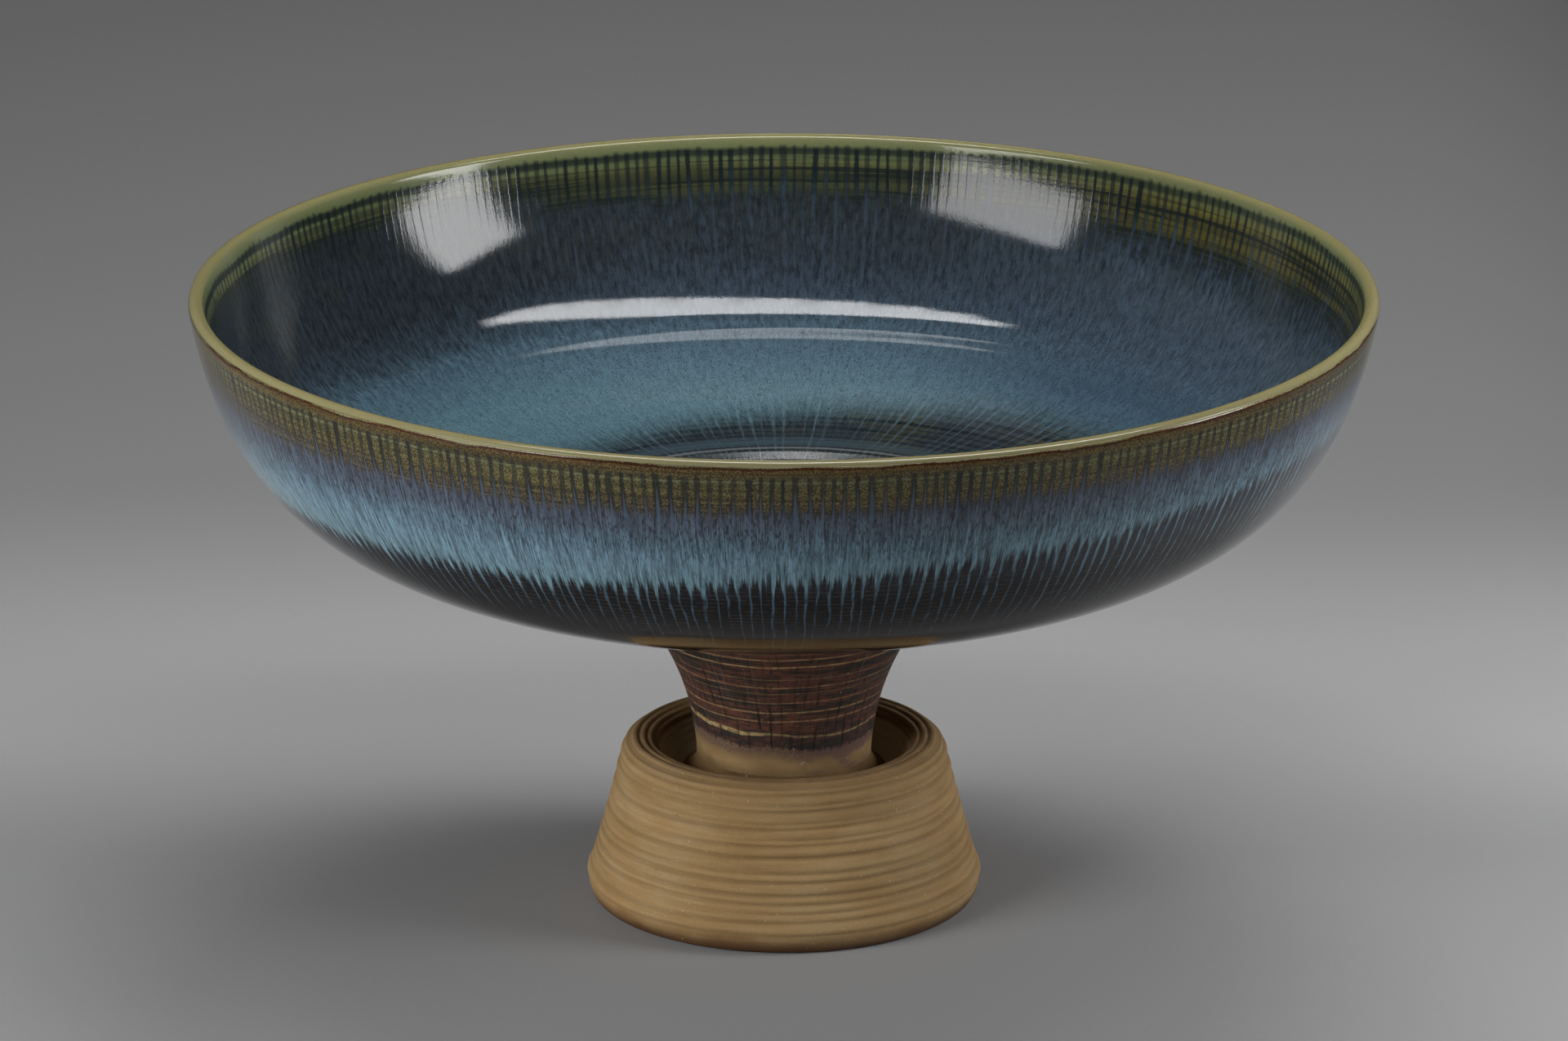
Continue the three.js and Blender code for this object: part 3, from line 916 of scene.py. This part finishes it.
def studio_floor():
    bm = bmesh.new()
    bmesh.ops.create_circle(bm, cap_ends=True, segments=96, radius=7.0)
    mesh = bpy.data.meshes.new("studio_floor")
    bm.to_mesh(mesh)
    bm.free()
    floor = bpy.data.objects.new("studio_floor", mesh)
    bpy.context.scene.collection.objects.link(floor)
    look = Look("pale_paper")
    fibre = look.grain(look.x * 0.6, look.y * 0.6, 0.0, detail=2.0)
    paper = look.bands(fibre, [(0.0, "9d9d9e"), (1.0, "a1a1a2")])
    # Painted light and shade on the floor: a paler pool behind the bowl, darker far in front and off to the
    # right
    behind = look.y.over(20.0, 130.0) * look.y.over(360.0, 190.0)
    floor_shade_in_front = look.y.over(-200.0, -800.0)
    floor_shade_beside = look.x.over(200.0, 420.0)
    look.finish(look.shaded(paper, behind * 0.40 + 1.0 - floor_shade_in_front * 0.65 - floor_shade_beside * 0.60), 0.9)
    mesh.materials.append(look.material)


def softbox(name, place, aim, width, height, brightness, roll=0.0):
    """A lamp behind a panel, in metres; brightness is that of the panel, whatever its size."""
    light = bpy.data.lights.new(name, "AREA")
    light.shape = "RECTANGLE"
    light.size = width
    light.size_y = height
    light.energy = math.pi * width * height * brightness
    lamp = bpy.data.objects.new(name, light)
    lamp.location = place
    facing = (Vector(aim) - Vector(place)).to_track_quat("-Z", "Y").to_matrix()
    lamp.rotation_euler = (facing @ Matrix.Rotation(math.radians(roll), 3, "Z")).to_euler()
    bpy.context.scene.collection.objects.link(lamp)
    return lamp


def bent_strip(name, centre, across, along, height, angles, widest, brightness, parts):
    """A row of panels overhead, bent along an oval, widest in the middle."""
    low, high = angles
    lamps = []
    for i in range(parts):
        a, b = (math.radians(low + (high - low) * step / parts) for step in (i, i + 1))
        ends = [(centre[0] + across * math.cos(t), centre[1] + along * math.sin(t), height) for t in (a, b)]
        start, end = (Vector(point) for point in ends)
        place = (start + end) / 2
        width = widest * math.sin(math.pi * (i + 0.5) / parts) ** 0.5
        below = place - Vector((0, 0, 1))
        lamp = softbox(f"{name}_{i}", place, below, (end - start).length, width, brightness)
        lamp.rotation_euler = (0, 0, math.atan2(end.y - start.y, end.x - start.x))
        lamps.append(lamp)
    return lamps


studio_floor()

# A gleam is a lamp that only shines in the glaze: it hangs this far below its twin, which lights the clay,
# or stands this share of the way from it to what it faces
GLEAM_DROP = 0.005
GLEAM_SHARE = 0.005

# Centre, half lengths, height, angles and width of the strip overhead
OVERHEAD = ((0.11, 0.15), 0.43, 0.225, 0.8, (193, 352), 0.165)
OVERHEAD_PARTS = 11

# Where each panel stands, where it faces, its width, height, brightness and roll
RIGHT_AIM = (-0.085, 0.112, 0.15)
LEFT_AIM = (0.06, 0.132, 0.15)
RIGHT_PANEL = ((0.565, -0.095, 0.306), RIGHT_AIM, 0.225, 0.24, 9.6, 14)
LEFT_PANEL = ((-0.585, -0.448, 0.386), LEFT_AIM, 0.44, 0.245, 7.6, -8)
MATT_PANELS = (
    ("softbox_right_low", ((0.755, -0.21, 0.176), RIGHT_AIM, 0.432, 0.142, 4.4)),
    ("softbox_left_low", ((-0.609, -0.47, 0.176), LEFT_AIM, 0.516, 0.142, 8.9)),
    ("softbox_behind", ((0.181, 0.726, 1.362), (0.0, 0.05, 0.15), 0.646, 0.443, 7.3)),
)
FLOOR_GLINT = ((-0.015, 2.50, 1.86), (0.0, 0.056, 0.1), 0.065, 0.36, 5.0)

bent_strip("overhead", *OVERHEAD, 2.8, OVERHEAD_PARTS)
for lamp in bent_strip("overhead_gleam", *OVERHEAD, 7.5, OVERHEAD_PARTS):
    lamp.visible_diffuse = False
    lamp.location.z -= GLEAM_DROP
for name, panel, gloss in ("softbox_right", RIGHT_PANEL, 0.88), ("softbox_left", LEFT_PANEL, 0.76):
    softbox(name, *panel).visible_glossy = False
    gleam = softbox(name + "_gleam", *panel)
    gleam.visible_diffuse = False
    gleam.location = Vector(panel[0]).lerp(Vector(panel[1]), GLEAM_SHARE)
    gleam.data.energy *= gloss
for name, panel in MATT_PANELS:
    softbox(name, *panel).visible_glossy = False
softbox("lamp_behind", *FLOOR_GLINT).visible_diffuse = False

# The backdrop is paler to the camera than the light that it gives
BACKDROP = 0.20
AMBIENT = 0.02
world = bpy.data.worlds.new("studio")
bpy.context.scene.world = world
world.use_nodes = True
seen = world.node_tree.nodes.new("ShaderNodeLightPath").outputs["Is Camera Ray"]
shade = world.node_tree.nodes.new("ShaderNodeMapRange")
shade.inputs["To Min"].default_value = AMBIENT
shade.inputs["To Max"].default_value = BACKDROP
world.node_tree.links.new(seen, shade.inputs["Value"])
world.node_tree.links.new(shade.outputs[0], world.node_tree.nodes["Background"].inputs["Color"])

CAMERA_PLACE = (0.0, -2.2, 0.7969)
CAMERA_DIP = 17.589
camera_data = bpy.data.cameras.new("camera")
camera_data.sensor_width = 36.0
camera_data.lens = 208.45
camera = bpy.data.objects.new("camera", camera_data)
camera.location = CAMERA_PLACE
camera.rotation_euler = (math.radians(90 - CAMERA_DIP), 0, 0)
bpy.context.scene.collection.objects.link(camera)
bpy.context.scene.camera = camera
bpy.context.scene.view_settings.view_transform = "Standard"
